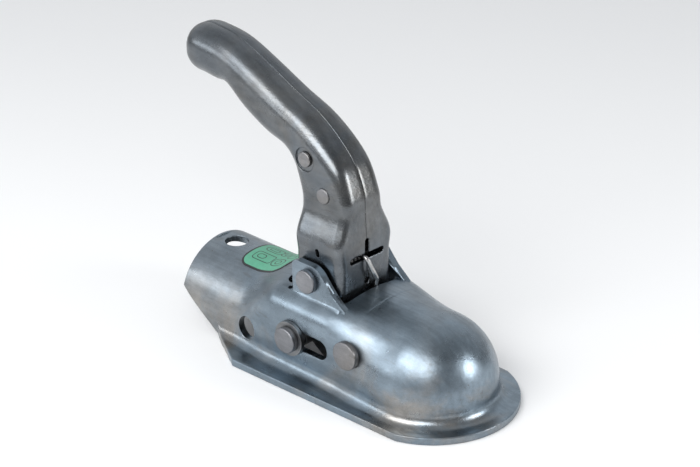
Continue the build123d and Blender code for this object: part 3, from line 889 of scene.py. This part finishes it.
def make_front_rivet():
    """Front rivet: headed on the near side, closed flush in the far wall."""
    seat = body_section(front_rivet_x, 0)[0]
    head = head_profile(seat + seat_gap, front_head, big_head_height, front_head_round, front_head_crown)
    near = [(-y, radius) for y, radius in head[::-1]]
    inner, outer = seat - front_flush_inner, seat - front_flush_outer
    bevel = front_shank - front_flush_bevel
    far = [(-seat, front_shank), (inner, front_shank), (outer, bevel), (outer, 0.0)]
    return turned("front_rivet_turned", front_rivet_x, front_rivet_height, near + far)


# Spring
def rounded_path(points, radius, count=8):
    """Path through points with an arc of the radius at each inner corner."""
    path = [points[0]]
    for before, here, after in zip(points, points[1:], points[2:]):
        back, ahead = (before - here).normalized(), (after - here).normalized()
        half_turn = back.angle(ahead) / 2
        reach = min(radius / (sin(half_turn) / cos(half_turn)), (before - here).length * 0.48,
                    (after - here).length * 0.48)
        start, end = here + back * reach, here + ahead * reach
        for number in range(count + 1):
            t = number / count
            path.append(start * (1 - t) ** 2 + here * 2 * t * (1 - t) + end * t * t)
    path.append(points[-1])
    return path


def make_spring():
    """Torsion spring: rear leg, coil round the pivot bush, front leg out through the cross slot."""
    coil_half = spring_turns * spring_pitch / 2
    slope = spring_pitch / (2 * pi * coil_radius)
    coil_top = pivot_height + coil_radius
    rear_leg = pivot_x - base_rear_x - handle_sheet - rear_leg_gap
    path = [place(pivot_x - rear_leg, coil_half + rear_leg * slope, coil_top)]
    for number in range(spring_turns * coil_steps + 1):
        turn = number / coil_steps
        angle = 2 * pi * turn
        path.append(place(pivot_x + coil_radius * sin(angle), coil_half - spring_pitch * turn,
                          pivot_height + coil_radius * cos(angle)))
    # The front leg leaves through the cross slot and bows out in front of the foot
    route = [
        (pivot_x, -coil_half, coil_top), (pivot_x + coil_exit, -coil_half - coil_exit * slope, coil_top),
        (-56.6, -1.8, cross_slot_height), (-48.4, -2.4, cross_slot_height), (-45.8, 0.6, 65.5),
        (-45.9, 3.4, 60.5), (-48.2, 4.7, 54.0), (-48.0, 4.7, 47.0), (front_rivet_x, 4.7, 41.3),
    ]
    path += rounded_path([place(*point) for point in route], spring_bend * mm)[1:]
    curve = bpy.data.curves.new("spring_wire", "CURVE")
    curve.dimensions = "3D"
    curve.bevel_depth = spring_wire / 2 * mm
    curve.bevel_resolution = 5
    curve.use_fill_caps = True
    spline = curve.splines.new("POLY")
    spline.points.add(len(path) - 1)
    for point, spot in zip(spline.points, path):
        point.co = (*spot, 1)
    wire = bpy.data.objects.new("torsion_wire", curve)
    bpy.context.scene.collection.objects.link(wire)
    bpy.context.view_layer.update()
    mesh = bpy.data.meshes.new_from_object(wire.evaluated_get(bpy.context.evaluated_depsgraph_get()))
    bpy.data.objects.remove(wire)
    mesh.shade_smooth()
    made = bpy.data.objects.new("torsion_spring", mesh)
    bpy.context.scene.collection.objects.link(made)
    return made


# Label
def roof_height(x, y):
    """Height of the housing's roof."""
    half, top, corner, crown = body_section(x, 0)
    lean, centre, crown_centre = roof_arcs(half, top, corner, crown)
    if abs(y) <= crown * sin(lean):
        return crown_centre + sqrt(crown**2 - y * y)
    return centre[1] + sqrt(max(0.0, corner**2 - (abs(y) - centre[0]) ** 2))


def border(grid):
    """Outermost points of a grid, in order round it."""
    right = [row[-1] for row in grid[1:]]
    left = [row[0] for row in grid[-2:0:-1]]
    return grid[0] + right + grid[-1][-2::-1] + left


def make_label():
    """Foil on the roof of the collar, following its curve."""
    bm = bmesh.new()
    layers = []
    for lift in (label_proud, -label_sink):
        rows = []
        for x in spread(label_x - label_length / 2, label_x + label_length / 2, label_step):
            short = max(0.0, abs(x - label_x) - (label_length / 2 - label_corner))
            half = label_width / 2 - label_corner + sqrt(max(0.0, label_corner**2 - short**2))
            row = []
            for number in range(label_steps + 1):
                y = half * (2 * number / label_steps - 1)
                row.append(place(x, y, roof_height(x, y) + lift))
            rows.append(row)
        layers.append(border(add_grid(bm, rows)))
    upper, lower = layers
    for number in range(len(upper)):
        after = (number + 1) % len(upper)
        bm.faces.new((upper[number], upper[after], lower[after], lower[number]))
    weld(bm)
    return new_object("foil_label", bm, 50)


# Materials
def fill(node, values):
    """Sets input sockets of a shader node by their names."""
    for key, value in values.items():
        node.inputs[key].default_value = value


class Tree:
    """Small helper that adds and links shader nodes."""

    def __init__(self, name):
        self.material = bpy.data.materials.new(name)
        self.material.use_nodes = True
        self.nodes = self.material.node_tree.nodes
        self.links = self.material.node_tree.links
        self.shader = self.nodes["Principled BSDF"]

    def add(self, kind, **settings):
        made = self.nodes.new(kind)
        for key, value in settings.items():
            setattr(made, key, value)
        return made

    def join(self, source, target):
        self.links.new(source, target)

    def coordinates(self):
        return self.add("ShaderNodeTexCoord").outputs["Object"]

    def noise(self, scale, detail=3.0, rough=0.55, stretch=None, distortion=0.0):
        """Noise of a scale per metre, stretched along an axis if asked."""
        made = self.add("ShaderNodeTexNoise")
        fill(made, {"Scale": scale, "Detail": detail, "Roughness": rough, "Distortion": distortion})
        source = self.coordinates()
        if stretch:
            mapping = self.add("ShaderNodeMapping")
            fill(mapping, {"Scale": stretch})
            self.join(source, mapping.inputs["Vector"])
            source = mapping.outputs["Vector"]
        self.join(source, made.inputs["Vector"])
        return made.outputs["Fac"]

    def ramp(self, source, low, high, dark=0.0, bright=1.0):
        """Values of the source between low and high, spread from dark to bright."""
        made = self.add("ShaderNodeMapRange", clamp=True)
        fill(made, {"From Min": low, "From Max": high, "To Min": dark, "To Max": bright})
        self.join(source, made.inputs["Value"])
        return made.outputs["Result"]

    def math(self, operation, first, second):
        made = self.add("ShaderNodeMath", operation=operation)
        for socket, value in zip(made.inputs, (first, second)):
            if isinstance(value, (int, float)):
                socket.default_value = value
            else:
                self.join(value, socket)
        return made.outputs[0]

    def mix(self, factor, first, second):
        """Colour mix; a colour may be a tuple or a socket."""
        made = self.add("ShaderNodeMix", data_type="RGBA")
        for socket, value in ((made.inputs[0], factor), (made.inputs[6], first), (made.inputs[7], second)):
            if isinstance(value, tuple):
                socket.default_value = (*value, 1)
            elif isinstance(value, (int, float)):
                socket.default_value = value
            else:
                self.join(value, socket)
        return made.outputs[2]

    def relief(self, parts, edge=0.0):
        """Bump from (height socket, depth in metres, strength) parts over a rounded edge."""
        normal = None
        if edge:
            bevel = self.add("ShaderNodeBevel", samples=4)
            fill(bevel, {"Radius": edge})
            normal = bevel.outputs["Normal"]
        for height, distance, strength in parts:
            bump = self.add("ShaderNodeBump")
            fill(bump, {"Distance": distance, "Strength": strength})
            self.join(height, bump.inputs["Height"])
            if normal:
                self.join(normal, bump.inputs["Normal"])
            normal = bump.outputs["Normal"]
        self.join(normal, self.shader.inputs["Normal"])


def zinc(name, cool=(0.22, 0.272, 0.318), warm=(0.31, 0.292, 0.27), warmth=0.85, rough=(0.25, 0.39),
         edge=0.0004, low_warm_reflection=False):
    """Zinc plating on pressed sheet: cool and warm cloudiness, fine spangle, scuffs and rubbed spots, and,
    if asked, a painted warm reflection low down.
    """
    tree = Tree(name)
    cloud = tree.ramp(tree.noise(17, 5, 0.62, distortion=0.9), 0.44, 0.62)
    haze = tree.ramp(tree.noise(60, 4, 0.65), 0.3, 0.72, 0.78, 1.16)
    drawn = tree.ramp(tree.noise(420, 3, 0.6, stretch=(0.08, 1.0, 0.6)), 0.3, 0.72, 0.88, 1.1)
    grain = tree.noise(2400, 2, 0.6)
    peel = tree.noise(850, 3, 0.6)
    spangle = tree.ramp(grain, 0.3, 0.7, 0.9, 1.1)
    share = tree.math("MULTIPLY", cloud, warmth)
    if low_warm_reflection:
        split = tree.add("ShaderNodeSeparateXYZ")
        tree.join(tree.coordinates(), split.inputs[0])
        # Painted warm reflection, strongest low down and fading upwards from 4 mm to 24 mm above the ball's
        # centre
        share = tree.math("MULTIPLY", share, tree.ramp(split.outputs[2], 0.004, 0.024, 1.0, 0.25))
    tone = tree.mix(share, cool, warm)
    level = tree.math("MULTIPLY", tree.math("MULTIPLY", haze, drawn), spangle)
    scaled = tree.add("ShaderNodeVectorMath", operation="SCALE")
    tree.join(tone, scaled.inputs[0])
    tree.join(level, scaled.inputs["Scale"])
    pits = tree.ramp(tree.noise(480, 2, 0.5), 0.72, 0.76)
    region = tree.ramp(tree.noise(38, 2, 0.5), 0.5, 0.62)
    scuffs = tree.ramp(tree.noise(150, 2, 0.5, stretch=(0.25, 1.0, 1.0), distortion=1.4), 0.66, 0.72)
    dark = tree.math("MULTIPLY", tree.math("MAXIMUM", tree.math("MULTIPLY", pits, region),
                                           tree.math("MULTIPLY", scuffs, 0.4)), 0.6)
    tree.join(tree.mix(dark, scaled.outputs[0], (0.12, 0.11, 0.10)), tree.shader.inputs["Base Color"])
    fill(tree.shader, {"Metallic": 1.0})
    patch = tree.ramp(tree.noise(45, 4, 0.6), 0.34, 0.68, *rough)
    tree.join(tree.math("ADD", patch, tree.math("MULTIPLY", dark, 0.25)), tree.shader.inputs["Roughness"])
    dents = tree.noise(170, 2, 0.5)
    tree.relief([(dents, 0.0006, 0.12), (peel, 0.0002, 0.32), (grain, 0.0001, 0.25)], edge)
    return tree.material


def cast():
    """Dark cast iron with a sandy skin."""
    tree = Tree("cast_iron")
    colour = (0.16, 0.16, 0.165)
    skin = tree.noise(900, 4, 0.65)
    blot = tree.ramp(tree.noise(60, 3, 0.6), 0.35, 0.7)
    rim = tuple(1.7 * part for part in colour)
    tree.join(tree.mix(blot, colour, rim), tree.shader.inputs["Base Color"])
    fill(tree.shader, {"Metallic": 0.85})
    tree.join(tree.ramp(skin, 0.3, 0.7, 0.5, 0.72), tree.shader.inputs["Roughness"])
    tree.relief([(skin, 0.0003, 0.35)], 0.0004)
    return tree.material


def foil():
    """Printed foil: green field, dark border and a few plain outlines."""
    tree = Tree("label_foil")
    split = tree.add("ShaderNodeSeparateXYZ")
    tree.join(tree.coordinates(), split.inputs[0])
    along = tree.math("SUBTRACT", split.outputs[0], label_x * mm)
    across = split.outputs[1]

    def rounded_box(centre, size, corner):
        """Signed distance in metres from a rounded rectangle."""
        parts = []
        for value, middle, length in ((along, centre[0], size[0]), (across, centre[1], size[1])):
            shifted = tree.math("ABSOLUTE", tree.math("SUBTRACT", value, middle * mm), 0)
            parts.append(tree.math("SUBTRACT", shifted, (length / 2 - corner) * mm))
        outside = [tree.math("MAXIMUM", part, 0.0) for part in parts]
        squares = [tree.math("MULTIPLY", part, part) for part in outside]
        reach = tree.math("SQRT", tree.math("ADD", *squares), 0)
        inside = tree.math("MINIMUM", tree.math("MAXIMUM", *parts), 0.0)
        return tree.math("SUBTRACT", tree.math("ADD", reach, inside), corner * mm)

    def line(distance, offset, width):
        """1 on a line of the width at an offset from the outline."""
        away = tree.math("ABSOLUTE", tree.math("SUBTRACT", distance, offset * mm), 0)
        return tree.ramp(away, width * mm * 0.5, (width * 0.5 + label_line_soft) * mm, 1.0, 0.0)

    rim = rounded_box((0, 0), (label_length, label_width), label_corner)
    ink = line(rim, -label_border_inset, label_border_width)
    for centre, size, corner in label_shapes:
        ink = tree.math("MAXIMUM", ink, line(rounded_box(centre, size, corner), 0, label_line_width))
    worn = tree.ramp(tree.noise(500, 3, 0.6), 0.3, 0.75, 0.9, 1.06)
    field = tree.add("ShaderNodeVectorMath", operation="SCALE")
    field.inputs[0].default_value = (0.10, 0.36, 0.235)
    tree.join(worn, field.inputs["Scale"])
    tree.join(tree.mix(ink, field.outputs[0], (0.02, 0.02, 0.022)), tree.shader.inputs["Base Color"])
    fill(tree.shader, {"Roughness": 0.42})
    tree.relief([(tree.noise(400, 3, 0.6), 0.0002, 0.12)])
    return tree.material


def dress(target, material):
    """Gives an object one material in its first slot."""
    if target.data.materials:
        target.data.materials[0] = material
    else:
        target.data.materials.append(material)
    return target


def stand_for(piece, node, body, material):
    """Puts a made piece in a node's place."""
    dress(piece, material)
    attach(piece, body)
    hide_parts(node)


# The housing's zinc carries the painted warm reflection low on its walls
housing_zinc = zinc("housing_zinc", low_warm_reflection=True)
# Painted shade: the handle's zinc is a darker copy of the housing's, standing in for the dark surroundings
# the handle reflects
handle_shaded_zinc = zinc("handle_shaded_zinc", cool=(0.145, 0.16, 0.175), warm=(0.178, 0.168, 0.152), warmth=0.5,
                   rough=(0.22, 0.33))
pin_zinc = zinc("pin_zinc", cool=(0.245, 0.25, 0.265), warm=(0.262, 0.25, 0.24), rough=(0.34, 0.46))
inner_zinc = zinc("inner_zinc", cool=(0.22, 0.225, 0.23), warm=(0.24, 0.21, 0.18), rough=(0.36, 0.5))
wire_steel = zinc("wire_steel", cool=(0.52, 0.52, 0.52), warm=(0.50, 0.48, 0.45), rough=(0.22, 0.35),
                  edge=0.0)
cast_iron = cast()

stand_for(make_housing(), "housing", "head", housing_zinc)
stand_for(handle_half("pressed_handle_left", 1), "handle_shell_left", "handle", handle_shaded_zinc)
stand_for(handle_half("pressed_handle_right", -1), "handle_shell_right", "handle", handle_shaded_zinc)
stand_for(make_front_rivet(), "front_rivet", "head", pin_zinc)
pivot_seat = opening_half + sheet + seat_gap
pivot_pin = headed_pin("pivot_pin_turned", pivot_x, pivot_height, pivot_shank, pivot_seat, pivot_head,
                       pivot_head_height, big_head_round)
stand_for(pivot_pin, "pivot_pin", "head", pin_zinc)
slot_seat = body_half + slot_washer + seat_gap
slot_pin = headed_pin("slot_pin_turned", slot_pin_x, slot_pin_height, slot_shank, slot_seat, slot_head,
                      big_head_height, big_head_round)
stand_for(slot_pin, "slot_pin", "carriage", pin_zinc)
rivet_seat = neck_half - dimple_depth + seat_gap
for name, (rivet_x, rivet_height) in (("upper_rivet", upper_rivet), ("lower_rivet", lower_rivet)):
    rivet = headed_pin(name + "_turned", rivet_x, rivet_height, rivet_shank, rivet_seat, rivet_head,
                       rivet_head_height, rivet_head_round)
    stand_for(rivet, name, "handle", pin_zinc)
stand_for(make_label(), "label", "head", foil())

# The spring is built in place and attached to no body; its front leg bends towards its seat in the housing
spring = dress(make_spring(), wire_steel)
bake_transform(spring)
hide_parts("closing_spring")

replaced = {"housing", "handle_shell_left", "handle_shell_right", "front_rivet", "pivot_pin", "slot_pin",
            "upper_rivet", "lower_rivet", "label", "closing_spring"}
for node_name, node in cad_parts.items():
    if node_name not in replaced:
        dress(node, cast_iron if node_name in ("ball_seat", "jaw") else inner_zinc)


# Floor, light and camera
def make_floor():
    """Plain pale floor."""
    bm = bmesh.new()
    level = cad_box[0].z - floor_drop
    corners = ((-1, -1), (1, -1), (1, 1), (-1, 1))
    bm.faces.new([bm.verts.new((a * floor_reach, b * floor_reach, level)) for a, b in corners])
    floor = new_object("floor", bm)
    tree = Tree("floor_pale")
    fill(tree.shader, {"Base Color": (floor_tone, floor_tone, floor_tone, 1), "Roughness": 0.9})
    dress(floor, tree.material)


def softbox(name, direction, distance, width, height, radiance, colour):
    """Area lamp of a given radiance, facing the object from a direction."""
    data = bpy.data.lights.new(name, "AREA")
    data.shape = "RECTANGLE"
    data.size = width
    data.size_y = height
    data.energy = radiance * pi * width * height
    data.color = colour
    lamp = bpy.data.objects.new(name, data)
    lamp.location = camera_target + Vector(direction).normalized() * distance
    lamp.rotation_euler = Vector(direction).to_track_quat("Z", "Y").to_euler()
    bpy.context.scene.collection.objects.link(lamp)


def make_world():
    """Soft grey room, brightest a little above the horizon and darker towards the nose."""
    world = bpy.data.worlds.new("room")
    bpy.context.scene.world = world
    world.use_nodes = True
    nodes, links = world.node_tree.nodes, world.node_tree.links
    coordinates = nodes.new("ShaderNodeTexCoord")
    split = nodes.new("ShaderNodeSeparateXYZ")
    ramp = nodes.new("ShaderNodeValToRGB")
    ramp.color_ramp.elements[0].position = 0.0
    ramp.color_ramp.elements[0].color = (0.55, 0.55, 0.55, 1)
    ramp.color_ramp.elements[1].position = 1.0
    ramp.color_ramp.elements[1].color = (0.60, 0.62, 0.64, 1)
    middle = ramp.color_ramp.elements.new(0.42)
    middle.color = (0.86, 0.88, 0.91, 1)
    darker = nodes.new("ShaderNodeMapRange")
    fill(darker, {"From Min": -0.1, "From Max": 0.6, "To Min": 1.0, "To Max": 0.4})
    links.new(coordinates.outputs["Generated"], split.inputs[0])
    links.new(split.outputs[2], ramp.inputs[0])
    links.new(ramp.outputs[0], nodes["Background"].inputs[0])
    links.new(split.outputs[0], darker.inputs["Value"])
    links.new(darker.outputs["Result"], nodes["Background"].inputs[1])


def make_camera():
    """Camera at the photograph's place."""
    data = bpy.data.cameras.new("camera")
    data.lens = camera_lens
    camera = bpy.data.objects.new("camera", data)
    back = Vector((sin(camera_azimuth) * cos(camera_pitch), -cos(camera_azimuth) * cos(camera_pitch),
                   sin(camera_pitch)))
    camera.location = camera_target + back * camera_distance
    camera.rotation_euler = back.to_track_quat("Z", "Y").to_euler()
    bpy.context.scene.collection.objects.link(camera)
    bpy.context.scene.camera = camera


make_floor()
make_world()
softbox("front_key", (0.13, -0.77, 0.64), 1.1, 1.2, 0.5, 5.6, (1.0, 1.0, 1.0))
softbox("nose_side", (0.85, 0.40, 0.26), 1.0, 0.34, 0.34, 9.0, (1.0, 1.0, 1.0))
softbox("low_left", (-0.60, -0.74, 0.25), 1.1, 0.7, 0.24, 2.9, (0.97, 0.985, 1.0))
make_camera()
bpy.context.scene.view_settings.view_transform = "Standard"
